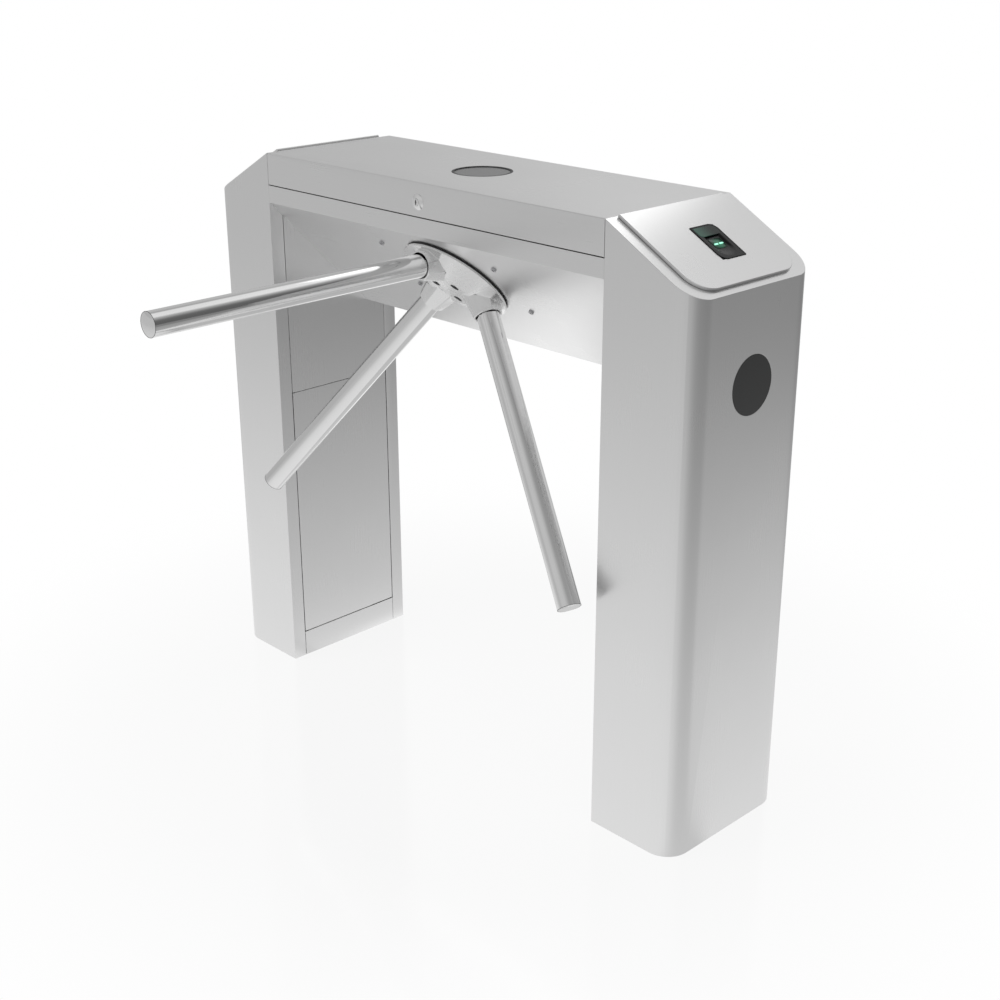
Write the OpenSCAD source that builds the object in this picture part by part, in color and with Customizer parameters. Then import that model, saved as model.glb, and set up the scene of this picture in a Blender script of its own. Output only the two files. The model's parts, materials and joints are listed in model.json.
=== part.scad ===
// Tripod turnstile: two sheet metal columns carry a beam with a sloped
// front, and a hub with three arms turns on an axis tilted by 45 degrees.
// Origin: centre of the footprint on the floor. +X runs along the beam
// towards the column with the reader, the arms reach out to -Y, +Z is up.

/* [Cabinet] */
// Overall length of the cabinet along the beam
cabinet_l = 1120; // [1060:5:1240]
// Depth of the cabinet, front to rear
cabinet_w = 280; // [274:1:310]
// Height of the closed lid above the floor
cabinet_h = 985; // [975:1:1010]
// Length of each end column
column_l = 165; // [160:1:190]
// Drop of the sloped top over a column
slope_drop = 92; // [80:1:104]
// Radius of the upright outer corners of a column
corner_r = 42; // [32:1:46]
// Thickness of the cabinet sheet
sheet_t = 2; // [1.8:0.1:2.3]
// Width of a visible seam round a moving panel
seam = 1.5; // [1.3:0.1:2]

/* [Beam] */
// Height of the upright front strip under the lid
strip_h = 30; // [26:1:34]
// Height of the beam with the closed lid
beam_h = 298; // [290:1:310]
// Setback of the rain rim behind the lid lip
rim_in = 4; // [3.8:0.1:5]
// Height of the rain rim above the strip
rim_h = 11; // [8:0.5:11.5]
// Thickness of the end plates bolted to the columns
end_plate_t = 3; // [2.5:0.5:5]
// Diameter of the cable hole between beam and column
cable_d = 60; // [30:1:64]
// Thread diameter of the bolts that join beam and column
beam_bolt_d = 8; // [6:1:10]

/* [Lid] */
// Height of the lid lip
lip_h = 54.5; // [53:0.5:57]
// Outside radius of the lid's long folds
lid_r = 3; // [2.5:0.5:5]
// Gap between the lid and a column
lid_gap = 0.6; // [0.5:0.1:1.5]
// Depth of the lid's end flanges
lid_end_h = 20; // [12:1:26]
// Length of the hinge along the rear
hinge_l = 500; // [300:20:700]
// Diameter of a hinge knuckle
knuckle_d = 9; // [8:0.5:9.4]
// Diameter of the hinge rod
hinge_rod_d = 4; // [3:0.5:5]
// Thickness of a hinge leaf
leaf_t = 1.5; // [1.2:0.1:1.8]
// Height of a hinge leaf
leaf_h = 26; // [18:1:32]

/* [Lid lock] */
// Depth of the lock's axis below the lid's top
lock_down = 31; // [29:0.5:32]
// Diameter of the lock's chrome collar
lock_collar_d = 26; // [22:1:30]
// Height of the collar's dome
lock_rise = 5; // [3:0.5:6]
// Diameter of the lock barrel
lock_d = 19; // [16:0.5:22]
// Diameter of the turning plug
plug_d = 12; // [10:0.5:13]
// Reach of the cam from the lock's axis
cam_reach = 32; // [28:1:34]
// Width of the cam
cam_w = 14; // [12:0.5:14.5]
// Thickness of the cam
cam_t = 2.5; // [2:0.5:3]

/* [Indicator lamps] */
// Diameter of the round lens in the lid
top_lens_d = 92; // [70:1:100]
// Width of the dark ring round the top lens
top_ring_w = 4; // [3:0.5:6]
// Diameter of the lenses in the column ends
end_lens_d = 91; // [70:1:96]
// Depth of the end lenses' centre below the lid's top
end_lens_down = 236; // [195:1:285]
// Thickness of the lamp boards
lamp_board_t = 1.6; // [1:0.2:2]

/* [Column panels] */
// Width of a service door
door_w = 223; // [210:1:225]
// Height of a service door
door_h = 490; // [400:5:500]
// Thickness of a service door
door_t = 1.5; // [1:0.1:1.6]
// Height of the kick plate under a door
kick_h = 50; // [45:1:70]
// Seam beside the fixed inner panels
panel_gap = 1; // [0.6:0.1:1.3]
// Width of the backing behind the fixed panels
backing_w = 250; // [240:1:256]
// Diameter of the door hinge pins
door_pin_d = 5; // [4:0.5:5.4]
// Distance of a door's hinge line from its edge
door_hinge_in = 16; // [14:1:20]
// Depth of a door's hinge line behind its face
door_hinge_deep = 5; // [4.8:0.1:5.4]

/* [Cover plates] */
// Thickness of the raised plates on the slopes
cover_t = 5; // [3:0.5:6]
// Edge band left at the front and the rear of a cover plate
cover_side = 24; // [16:1:32]
// Edge band left at the lower end of a cover plate
cover_low = 12; // [8:1:20]
// Radius of the lower corners of a cover plate
cover_r = 40; // [20:1:50]

/* [Fingerprint reader] */
// Length of the reader down the slope
reader_l = 73; // [66:1:80]
// Width of the reader
reader_w = 53; // [48:1:60]
// Distance of the reader's centre down the slope
reader_s = 94; // [85:1:105]
// Sideways place of the reader
reader_y = 7; // [-10:1:15]
// Height of the reader above the cover plate
reader_up = 1.2; // [0.8:0.1:2]
// Depth of the reader's neck under the slope
reader_deep = 16; // [10:1:25]
// Radius of the reader's two round corners
reader_r = 14; // [8:1:18]

/* [Floor fixing] */
// Thickness of the base plates
base_t = 6; // [5:0.5:10]
// Diameter of the anchor holes
anchor_d = 14; // [11:0.5:18]
// Distance between the front and the rear anchor holes
anchor_span = 190; // [160:1:196]
// Distance of an anchor hole from the column's outer face
anchor_out = 45; // [42:1:55]
// Distance of an anchor hole from the column's inner face
anchor_in = 45; // [40:1:55]
// Diameter of the cable inlet in a base plate
inlet_d = 60; // [40:1:80]

/* [Hub] */
// Distance of the hub's axis from the slope's upper edge
hub_down = 113.8; // [111:0.2:116]
// Depth of the arms' meeting point behind the slope
apex_deep = 47.4; // [47:0.2:48.4]
// Radius of the hub's rim
hub_r = 97; // [90:0.5:99]
// Thickness of the hub's rim
hub_rim = 4; // [3:0.5:5]
// Height of the hub's front face above its back
hub_rise = 21; // [19:0.5:23]
// Corner radius of the six-sided front face
hub_face_r = 45; // [41:0.5:50]
// Corner radius of an eight-sided arm socket at its mouth
socket_r = 24.5; // [23:0.1:26]
// Taper of an arm socket, as growth of its radius per length
socket_taper = 0.22; // [0.1:0.01:0.26]
// Distance of the socket mouths from the meeting point
socket_end = 113; // [111:0.5:118]
// Depth of the recess round a tube in its socket's mouth
mouth_deep = 4; // [2:0.5:6]
// Width of the recess round a tube
mouth_gap = 1.5; // [1:0.1:2.5]
// Outer diameter of the dark collar behind the hub
collar_d = 186; // [176:1:192]
// Thickness of the dark collar
collar_t = 2; // [1.5:0.1:2.2]

/* [Arms] */
// Diameter of an arm tube
arm_d = 38; // [34:0.5:40]
// Wall of an arm tube
arm_wall = 1.5; // [1.2:0.1:2]
// Distance of the arm ends from the meeting point
arm_reach = 614; // [560:2:616]
// Distance of the tubes' inner ends from the meeting point
arm_seat = 93; // [92.5:0.5:95]
// Height of the dome on an end cap
cap_dome = 3; // [2:0.5:6]
// Length of an end cap's plug
cap_plug = 22; // [12:1:30]

/* [Drive and lock] */
// Diameter of the main shaft
shaft_d = 30; // [26:1:30]
// Outer diameter of the ball bearings
bearing_d = 62; // [55:1:64]
// Width of the ball bearings
bearing_t = 16; // [12:1:16]
// Thickness of the mechanism plate
plate_t = 8; // [7:0.5:8.5]
// Distance between the plates' pillars along the beam
pillar_span = 80; // [76:1:84]
// Radius of the locking wheel
wheel_r = 58; // [52:0.5:58.5]
// Thickness of the locking wheel
wheel_t = 5; // [4:0.5:8]
// Diameter of the stop rollers on the locking wheel
roller_d = 12; // [10:0.5:13]
// Radius of the ring of stop rollers
roller_ring = 50; // [48:0.5:51]
// Thickness of the pawls
pawl_t = 10; // [8:0.5:10.5]
// Diameter of the pawl pins
pawl_pin_d = 10; // [8:0.5:11]
// Diameter of a solenoid plunger
plunger_d = 10; // [8:0.5:11]
// Diameter of the gearmotor
motor_d = 72; // [62:1:74]
// Radial clearance of a running fit
run_fit = 0.05; // [0.02:0.01:0.08]

/* [Hidden] */
$fn = 96;

steel = [0.72, 0.73, 0.74];
bright = [0.82, 0.83, 0.84];
dark = [0.09, 0.09, 0.10];
zinc = [0.62, 0.63, 0.62];

half_l = cabinet_l / 2;
in_x = half_l - column_l;
front_y = -cabinet_w / 2;
rear_y = cabinet_w / 2;
slope_deg = atan(slope_drop / column_l);
slope_len = sqrt(column_l * column_l + slope_drop * slope_drop);

under_z = cabinet_h - beam_h;
lock_z = cabinet_h - lock_down;
end_lens_z = cabinet_h - end_lens_down;
lid_low_z = cabinet_h - lip_h;
rim_z = lid_low_z - seam;
strip_z = rim_z - strip_h;
under_y = front_y + strip_z - under_z;
fold = sheet_t * sqrt(2);
half = sqrt(0.5);

opening_w = door_w + 2 * seam;
fixed_w = opening_w - 2 * panel_gap;
door_low_z = kick_h + seam;
panel_low_z = door_low_z + door_h + seam;
door_hinge_x = in_x + door_hinge_deep;
door_hinge_y = door_w / 2 - door_hinge_in;
ear_t = 2;
tab_t = 3;

knuckle_y = rear_y + knuckle_d / 2 + 0.5;
knuckle_z = lid_low_z - seam / 3;
knuckle_n = 9;
knuckle_l = hinge_l / knuckle_n;
lock_deep = 22;
top_lens_r = top_lens_d / 2;
top_ring_r = top_lens_r + top_ring_w;
end_lens_r = end_lens_d / 2;

hub_y = front_y + half * (hub_down + apex_deep);
hub_z = strip_z + half * (apex_deep - hub_down);
slope_in = apex_deep - sheet_t;
plate_back = slope_in - plate_t;
collar_front = apex_deep + collar_t;
hub_back = collar_front + 0.6;
hub_face = hub_back + hub_rise;
hub_bolt_r = 26;
hub_screw_d = 8;
hub_head_d = 13;
hub_sink = 10;
socket_in = 40;
socket_in_r = socket_r + socket_taper * (socket_end - socket_in);
hub_bolt_angles = [60, 180, 300];
arm_angles = [0, 120, 240];
arm_r = arm_d / 2;
flange_r = 34;
flange_t = 12;
shaft_r = shaft_d / 2;
tail_r = 10;
bearing_r = bearing_d / 2;
boss_r = bearing_r + 10;
boss_back = plate_back - bearing_t - 4;
rear_front = -25;
rear_t = 6;
rear_back = rear_front - rear_t;
rear_end = rear_back - bearing_t;
shoulder_gap = 0.5;
motor_flange_t = 6;
motor_l = 51;
pillar_r = 7;
pillar_y = 66;
mech_half = 150;
mech_up = 80;
mech_down = 78;
rear_half = pillar_span / 2 + 12;
rear_side = pillar_y + 10;
bolt_side = 95;
bolt_up = 48;
bolt_low = 130;
bolt_mid = 60;
cable_y = 50;
cable_low = 22;
screw_x = 134;
screw_up = 63;
screw_down = 55;
pawl_x = 64;
pawl_y = -52;
tail_x = 98;
pin_r = pawl_pin_d / 2;
wheel_front = -1;
roller_pin_r = 3;
roller_turn = 12.5;
electrics_up = 250;
board_l = 108;
board_h = 170;
supply_l = 98;
supply_h = 160;

// Frames of reference

module on_slope() {
  translate([in_x, 0, cabinet_h]) rotate([0, slope_deg, 0]) children();
}

module on_axis() {
  translate([0, hub_y, hub_z]) rotate([135, 0, 0]) children();
}

module on_arm(angle) {
  on_axis() rotate([0, 0, angle]) rotate([-45, 0, 0]) children();
}

module along_x(length) {
  translate([-length / 2, 0, 0])
    rotate([90, 0, 90]) linear_extrude(length) children();
}

module ring(outer, inner, low, high) {
  difference() {
    translate([0, 0, low]) cylinder(r = outer, h = high - low);
    translate([0, 0, low - 1]) cylinder(r = inner, h = high - low + 2);
  }
}

// Column: wrapped sheet, sloped top, open inner side

module column_plan(inset, from_x) {
  intersection() {
    union() {
      translate([in_x - 20, front_y + inset])
        square([column_l + 20 - corner_r, cabinet_w - 2 * inset]);
      translate([in_x - 20, front_y + corner_r])
        square([column_l + 20 - inset, cabinet_w - 2 * corner_r]);
      for (side = [-1, 1])
        translate([half_l - corner_r, side * (rear_y - corner_r)])
          circle(r = corner_r - inset);
    }
    translate([from_x, -cabinet_w]) square([2 * column_l, 2 * cabinet_w]);
  }
}

module under_slope(depth) {
  on_slope() translate([-600, -cabinet_w, -2200 - depth])
    cube([1600, 2 * cabinet_w, 2200]);
}

module reader_hole(margin, low, high) {
  on_slope()
    translate([reader_s - reader_l / 2 + 2.5 - margin,
               reader_y - reader_w / 2 + 2.5 - margin, low])
      cube([reader_l - 5 + 2 * margin, reader_w - 5 + 2 * margin, high - low]);
}

module column_shell() {
  difference() {
    intersection() {
      linear_extrude(cabinet_h) column_plan(0, in_x);
      under_slope(0);
    }
    intersection() {
      translate([0, 0, -1]) linear_extrude(cabinet_h)
        column_plan(sheet_t, in_x + sheet_t);
      under_slope(sheet_t);
    }
    intersection() {
      translate([in_x - 1, -opening_w / 2, -1])
        cube([sheet_t + 2, opening_w, cabinet_h]);
      under_slope(sheet_t);
    }
    translate([half_l - 20, 0, end_lens_z]) rotate([0, 90, 0])
      cylinder(r = end_lens_r, h = 40);
  }
}

module left_column() {
  color(steel) mirror([1, 0, 0]) column_shell();
}

module right_column() {
  color(steel) difference() {
    column_shell();
    reader_hole(0.4, -sheet_t - 2, 2);
  }
}

// Base: floor plate, kick plate, stop and lower hinge tab

module anchor_at(x) {
  for (side = [-1, 1])
    translate([x, side * anchor_span / 2, -1])
      cylinder(d = anchor_d, h = base_t + 2);
}

module hinge_tab(low) {
  translate([in_x + sheet_t, door_hinge_y - 8, low]) cube([11, 16, tab_t]);
}

module column_base() {
  difference() {
    union() {
      linear_extrude(base_t) column_plan(sheet_t, in_x + sheet_t);
      translate([in_x, -fixed_w / 2, 0]) cube([sheet_t, fixed_w, kick_h]);
      translate([in_x + sheet_t, -backing_w / 2, 0])
        cube([sheet_t, backing_w, kick_h]);
      translate([in_x + sheet_t, -opening_w / 2 + 8, 0])
        cube([sheet_t, 165, kick_h + 10]);
      hinge_tab(kick_h - tab_t);
    }
    anchor_at(half_l - anchor_out);
    anchor_at(in_x + anchor_in);
    translate([in_x + column_l / 2, 0, -1])
      cylinder(d = inlet_d, h = base_t + 2);
    translate([door_hinge_x, door_hinge_y, kick_h - tab_t - 2])
      cylinder(d = door_pin_d, h = tab_t + 4);
  }
}

module left_base() {
  color(zinc) mirror([1, 0, 0]) column_base();
}

module right_base() {
  color(zinc) column_base();
}

// Fixed panel over the door, with stop and upper hinge tab

module bolt_places() {
  for (place = [[-bolt_side, bolt_up], [bolt_side, bolt_up],
                [bolt_side, -bolt_low], [0, -bolt_mid]])
    translate([0, place[0], hub_z + place[1]]) rotate([0, 90, 0]) children();
}

module panel_holes(from_x, length) {
  translate([from_x, 0, 0]) bolt_places() cylinder(d = beam_bolt_d, h = length);
  translate([from_x, cable_y, hub_z - cable_low]) rotate([0, 90, 0])
    cylinder(d = cable_d, h = length);
}

module column_panel() {
  difference() {
    intersection() {
      union() {
        translate([in_x, -fixed_w / 2, panel_low_z])
          cube([sheet_t, fixed_w, cabinet_h]);
        translate([in_x + sheet_t, -backing_w / 2, panel_low_z])
          cube([sheet_t, backing_w, cabinet_h]);
        translate([in_x + sheet_t, -opening_w / 2 + 8, panel_low_z - 10])
          cube([sheet_t, 165, 20]);
        hinge_tab(panel_low_z);
      }
      under_slope(sheet_t + 0.4);
    }
    translate([door_hinge_x, door_hinge_y, panel_low_z - 1])
      cylinder(d = door_pin_d, h = tab_t + 4);
    panel_holes(in_x - 1, 2 * sheet_t + 2);
  }
}

module left_upper_panel() {
  color(steel) mirror([1, 0, 0]) column_panel();
}

module right_upper_panel() {
  color(steel) column_panel();
}

// Service door: plain sheet with two hinge ears behind it

module door_ear(low) {
  translate([in_x + door_t - 0.5, door_hinge_y - 8, low])
    cube([door_hinge_deep - door_t + 5.5, 16, ear_t]);
}

module column_door() {
  difference() {
    union() {
      translate([in_x, -door_w / 2, door_low_z]) cube([door_t, door_w, door_h]);
      door_ear(door_low_z + 4);
      door_ear(door_low_z + door_h - 4 - ear_t);
    }
    translate([door_hinge_x, door_hinge_y, door_low_z + 2])
      cylinder(d = door_pin_d + 2 * run_fit, h = ear_t + 4);
    translate([door_hinge_x, door_hinge_y, door_low_z + door_h - 6 - ear_t])
      cylinder(d = door_pin_d + 2 * run_fit, h = ear_t + 4);
  }
}

module left_door() {
  color(steel) mirror([1, 0, 0]) column_door();
}

module right_door() {
  color(steel) column_door();
}

module door_hinge_pins() {
  color(zinc)
    for (side = [-1, 1])
      translate([side * door_hinge_x, door_hinge_y, 0]) {
        translate([0, 0, kick_h - tab_t])
          cylinder(d = door_pin_d, h = tab_t + seam + 4 + ear_t + 1);
        translate([0, 0, panel_low_z - seam - 5 - ear_t])
          cylinder(d = door_pin_d, h = tab_t + seam + 5 + ear_t);
      }
}

// Beam: folded trough with a sloped front and bolted end plates

module beam_inside() {
  polygon([[front_y + sheet_t, rim_z - sheet_t],
    [front_y + sheet_t, strip_z + fold - sheet_t],
    [under_y + fold - sheet_t, under_z + sheet_t],
    [rear_y - sheet_t, under_z + sheet_t],
    [rear_y - sheet_t, rim_z - sheet_t]]);
}

module beam_sheet() {
  polygon([[front_y, rim_z], [front_y, strip_z],
    [under_y, under_z], [rear_y, under_z], [rear_y, rim_z],
    [rear_y - rim_in, rim_z], [rear_y - rim_in, rim_z + rim_h],
    [rear_y - rim_in - sheet_t, rim_z + rim_h],
    [rear_y - rim_in - sheet_t, rim_z - sheet_t],
    [rear_y - sheet_t, rim_z - sheet_t],
    [rear_y - sheet_t, under_z + sheet_t],
    [under_y + fold - sheet_t, under_z + sheet_t],
    [front_y + sheet_t, strip_z + fold - sheet_t],
    [front_y + sheet_t, rim_z - sheet_t],
    [front_y + rim_in + sheet_t, rim_z - sheet_t],
    [front_y + rim_in + sheet_t, rim_z + rim_h],
    [front_y + rim_in, rim_z + rim_h], [front_y + rim_in, rim_z]]);
}

module screw_places() {
  for (side = [-1, 1]) {
    translate([side * screw_x, screw_up, 0]) children();
    translate([side * screw_x, -screw_down, 0]) children();
  }
}

module beam() {
  color(steel) difference() {
    union() {
      along_x(2 * in_x) beam_sheet();
      for (side = [-1, 1])
        translate([side * (in_x - end_plate_t / 2), 0, 0])
          along_x(end_plate_t) beam_inside();
    }
    panel_holes(in_x - end_plate_t - 1, end_plate_t + 2);
    mirror([1, 0, 0]) panel_holes(in_x - end_plate_t - 1, end_plate_t + 2);
    on_axis() {
      translate([0, 0, slope_in - 4]) cylinder(r = flange_r + 4, h = 12);
      screw_places() translate([0, 0, slope_in - 4]) cylinder(d = 6.6, h = 12);
    }
  }
}

module beam_bolt() {
  grip = end_plate_t + 2 * sheet_t;
  translate([0, 0, -end_plate_t - 5.5])
    cylinder(d = beam_bolt_d * 1.8, h = 5.5, $fn = 6);
  translate([0, 0, -end_plate_t - 5]) cylinder(d = beam_bolt_d, h = grip + 16);
  translate([0, 0, 2 * sheet_t]) cylinder(d = beam_bolt_d * 1.8, h = 6.5, $fn = 6);
}

module beam_bolts() {
  color(zinc) {
    translate([in_x, 0, 0]) bolt_places() beam_bolt();
    mirror([1, 0, 0]) translate([in_x, 0, 0]) bolt_places() beam_bolt();
  }
}

// Lid: inverted channel between the columns

module lid_section(inset, low) {
  translate([front_y + inset, low])
    square([cabinet_w - 2 * inset, cabinet_h - lid_r - low]);
  translate([front_y + lid_r, low])
    square([cabinet_w - 2 * lid_r, cabinet_h - inset - low]);
  for (side = [-1, 1])
    translate([side * (rear_y - lid_r), cabinet_h - lid_r])
      circle(r = lid_r - inset);
}

module lid() {
  lid_l = 2 * (in_x - lid_gap);
  color(steel) difference() {
    union() {
      difference() {
        along_x(lid_l) lid_section(0, lid_low_z);
        along_x(lid_l + 2) lid_section(sheet_t, lid_low_z - 1);
      }
      for (side = [-1, 1])
        translate([side * (lid_l - sheet_t) / 2, 0, cabinet_h - sheet_t - lid_end_h / 2])
          cube([sheet_t, cabinet_w - 2 * sheet_t, lid_end_h], center = true);
    }
    translate([0, 0, cabinet_h - 20]) cylinder(r = top_ring_r, h = 40);
    translate([0, front_y - 5, lock_z]) rotate([-90, 0, 0])
      cylinder(d = lock_d, h = 12);
  }
}

// Hinge: two leaves with interleaved knuckles on one rod

module knuckle_row(first) {
  for (i = [first : 2 : knuckle_n - 1])
    translate([-hinge_l / 2 + i * knuckle_l + 0.4, 0, 0]) children();
}

module knuckle() {
  translate([0, knuckle_y, knuckle_z]) rotate([0, 90, 0])
    cylinder(d = knuckle_d, h = knuckle_l - 0.8);
}

module knuckle_bore(wide) {
  translate([-hinge_l / 2 - 1, knuckle_y, knuckle_z]) rotate([0, 90, 0])
    cylinder(d = wide, h = hinge_l + 2);
}

module hinge_leaf_beam() {
  color(zinc) difference() {
    union() {
      translate([-hinge_l / 2, rear_y, knuckle_z - knuckle_d / 2 - 0.8 - leaf_h])
        cube([hinge_l, leaf_t, leaf_h]);
      knuckle_row(0) {
        knuckle();
        translate([0, rear_y, knuckle_z - knuckle_d / 2 - 2])
          cube([knuckle_l - 0.8, leaf_t, knuckle_d / 2 + 1]);
      }
    }
    knuckle_bore(hinge_rod_d);
  }
}

module hinge_leaf_lid() {
  color(zinc) difference() {
    union() {
      translate([-hinge_l / 2, rear_y, knuckle_z + knuckle_d / 2 + 0.8])
        cube([hinge_l, leaf_t, leaf_h]);
      knuckle_row(1) {
        knuckle();
        translate([0, rear_y, knuckle_z + 1])
          cube([knuckle_l - 0.8, leaf_t, knuckle_d / 2 + 1]);
      }
    }
    knuckle_bore(hinge_rod_d + 2 * run_fit);
  }
}

module hinge_rod() {
  color(zinc) translate([-hinge_l / 2 - 0.5, knuckle_y, knuckle_z])
    rotate([0, 90, 0]) cylinder(d = hinge_rod_d, h = hinge_l + 1);
}

// Lock in the lid lip, its cam and the ledge that the cam turns under

module on_lock() {
  translate([0, front_y, lock_z]) rotate([-90, 0, 0]) children();
}

module lock_body() {
  color(bright) on_lock() difference() {
    union() {
      rotate_extrude() intersection() {
        collar_dome();
        translate([0, -lock_rise]) square([lock_collar_d / 2, lock_rise]);
      }
      cylinder(d = lock_d, h = lock_deep);
    }
    translate([0, 0, -10]) cylinder(d = plug_d + 2 * run_fit, h = 40);
  }
}

module collar_dome() {
  half_d = lock_collar_d / 2;
  r = (half_d * half_d + lock_rise * lock_rise) / (2 * lock_rise);
  translate([0, r - lock_rise]) circle(r = r, $fn = 360);
}

module lock_plug() {
  color(bright) on_lock() difference() {
    union() {
      translate([0, 0, 0.4 - lock_rise])
        cylinder(d = plug_d, h = lock_deep + lock_rise + 0.6);
      translate([0, 0, lock_deep]) cylinder(d = 8, h = cam_t + 4);
    }
    translate([-0.9, -4, -lock_rise]) cube([1.8, 8, 7]);
    translate([0, 0, -lock_rise]) cylinder(d = 3.6, h = 7);
  }
}

module lock_cam() {
  color(zinc) on_lock() translate([0, 0, lock_deep + 1]) difference() {
    union() {
      cylinder(d = cam_w + 4, h = cam_t);
      translate([-cam_w / 2, 0, 0]) cube([cam_w, cam_reach, cam_t]);
    }
    translate([0, 0, -1]) cylinder(d = 8, h = cam_t + 2);
  }
}

module lid_catch() {
  face_y = front_y + rim_in + sheet_t;
  ledge_z = lock_z + cam_w / 2 + 1;
  color(zinc) {
    translate([14, face_y, rim_z]) cube([30, 2, ledge_z + 2 - rim_z]);
    translate([14, face_y, ledge_z])
      cube([30, lock_deep + cam_t + 4 - rim_in - sheet_t, 2]);
  }
}

// Round lamp in the lid

module top_lens_ring() {
  under = cabinet_h - sheet_t;
  color(dark) difference() {
    union() {
      translate([0, 0, under - 3]) cylinder(r = top_ring_r, h = 3 + sheet_t);
      translate([0, 0, under - 3]) cylinder(r = top_ring_r + 6, h = 3);
      translate([0, 0, under - 15]) cylinder(r = top_lens_r, h = 14);
    }
    translate([0, 0, under - 1]) cylinder(r = top_lens_r, h = 10);
    translate([0, 0, under - 20]) cylinder(r = top_lens_r - 4, h = 30);
  }
}

module top_lens() {
  color([0.50, 0.50, 0.50]) translate([0, 0, cabinet_h - sheet_t - 1])
    cylinder(r = top_lens_r, h = 1.8);
}

module lamp_board(radius) {
  translate([0, 0, -lamp_board_t]) cylinder(r = radius, h = lamp_board_t);
  for (i = [0 : 11])
    rotate([0, 0, 30 * i]) translate([radius - 16, 0, 0])
      translate([-2.5, -2.5, -0.5]) cube([5, 5, 2.5]);
}

module top_lamp_board() {
  color([0.10, 0.32, 0.20]) translate([0, 0, cabinet_h - sheet_t - 15])
    lamp_board(top_lens_r);
}

// Round lamps in the column ends

module on_end() {
  translate([half_l, 0, end_lens_z]) rotate([0, 90, 0]) children();
}

module end_lens() {
  on_end() difference() {
    union() {
      translate([0, 0, -sheet_t]) cylinder(r = end_lens_r, h = sheet_t);
      translate([0, 0, -sheet_t - 3]) cylinder(r = end_lens_r + 6, h = 3);
      translate([0, 0, -sheet_t - 13]) cylinder(r = end_lens_r + 2, h = 11);
    }
    translate([0, 0, -sheet_t - 14]) cylinder(r = end_lens_r - 2, h = 13);
  }
}

module left_end_lens() {
  color([0.20, 0.20, 0.20]) mirror([1, 0, 0]) end_lens();
}

module right_end_lens() {
  color([0.20, 0.20, 0.20]) end_lens();
}

module left_lamp_board() {
  color([0.10, 0.32, 0.20]) mirror([1, 0, 0]) on_end()
    translate([0, 0, -sheet_t - 13]) lamp_board(end_lens_r + 2);
}

module right_lamp_board() {
  color([0.10, 0.32, 0.20]) on_end()
    translate([0, 0, -sheet_t - 13]) lamp_board(end_lens_r + 2);
}

// Raised plates on the sloped tops

module cover_plate() {
  wide = cabinet_w - 2 * cover_side;
  end = slope_len - cover_low;
  on_slope() linear_extrude(cover_t) {
    translate([1.5, -wide / 2]) square([end - cover_r - 1.5, wide]);
    translate([1.5, -wide / 2 + cover_r]) square([end - 1.5, wide - 2 * cover_r]);
    for (side = [-1, 1])
      translate([end - cover_r, side * (wide / 2 - cover_r)]) circle(r = cover_r);
  }
}

module left_cover_plate() {
  color(steel) mirror([1, 0, 0]) cover_plate();
}

module right_cover_plate() {
  color(steel) difference() {
    cover_plate();
    reader_hole(0.4, -1, cover_t + 1);
  }
}

// Fingerprint reader in the right cover plate

module on_reader() {
  on_slope() translate([reader_s, reader_y, 0]) children();
}

module reader_outline() {
  l = reader_l / 2;
  w = reader_w / 2;
  difference() {
    square([reader_l, reader_w], center = true);
    for (turn = [0, 180]) rotate(turn)
      translate([-l, w]) rotate(-90) difference() {
        translate([-1, -1]) square(reader_r + 1);
        translate([reader_r, reader_r]) circle(r = reader_r);
      }
  }
}

module finger_slot(low, high, shrink) {
  l = reader_l * 0.32;
  w = reader_w * 0.27 - shrink;
  translate([0, 2, low]) {
    translate([-l + w, -w, 0]) cube([2 * (l - w), 2 * w, high - low]);
    for (end = [-1, 1]) translate([end * (l - w), 0, 0])
      cylinder(r = w, h = high - low);
  }
}

module reader_body() {
  top = cover_t + reader_up;
  color(dark) on_reader() difference() {
    union() {
      translate([0, 0, cover_t]) linear_extrude(reader_up) reader_outline();
      translate([0, 0, (cover_t - reader_deep) / 2])
        cube([reader_l - 5, reader_w - 5, cover_t + reader_deep + 0.02], center = true);
    }
    finger_slot(top - 2, top + 1, 0);
    translate([2, 3, top - 2.6]) cube([24, 22, 4], center = true);
  }
}

module reader_window() {
  top = cover_t + reader_up;
  color([0.05, 0.30, 0.20]) on_reader() translate([2, 3, top - 3.2])
    cube([24, 22, 2.8], center = true);
}

module reader_lights() {
  top = cover_t + reader_up;
  color([0.55, 0.95, 0.75]) on_reader()
    for (side = [-1, 1])
      translate([3, 3 + side * 5.5, top - 1.5]) cube([2.6, 8.5, 0.6], center = true);
}

// Hub: round rim, six-sided face and three eight-sided arm sockets

module hub_screw_places() {
  for (angle = hub_bolt_angles)
    rotate([0, 0, angle]) translate([0, hub_bolt_r, 0]) children();
}

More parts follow.
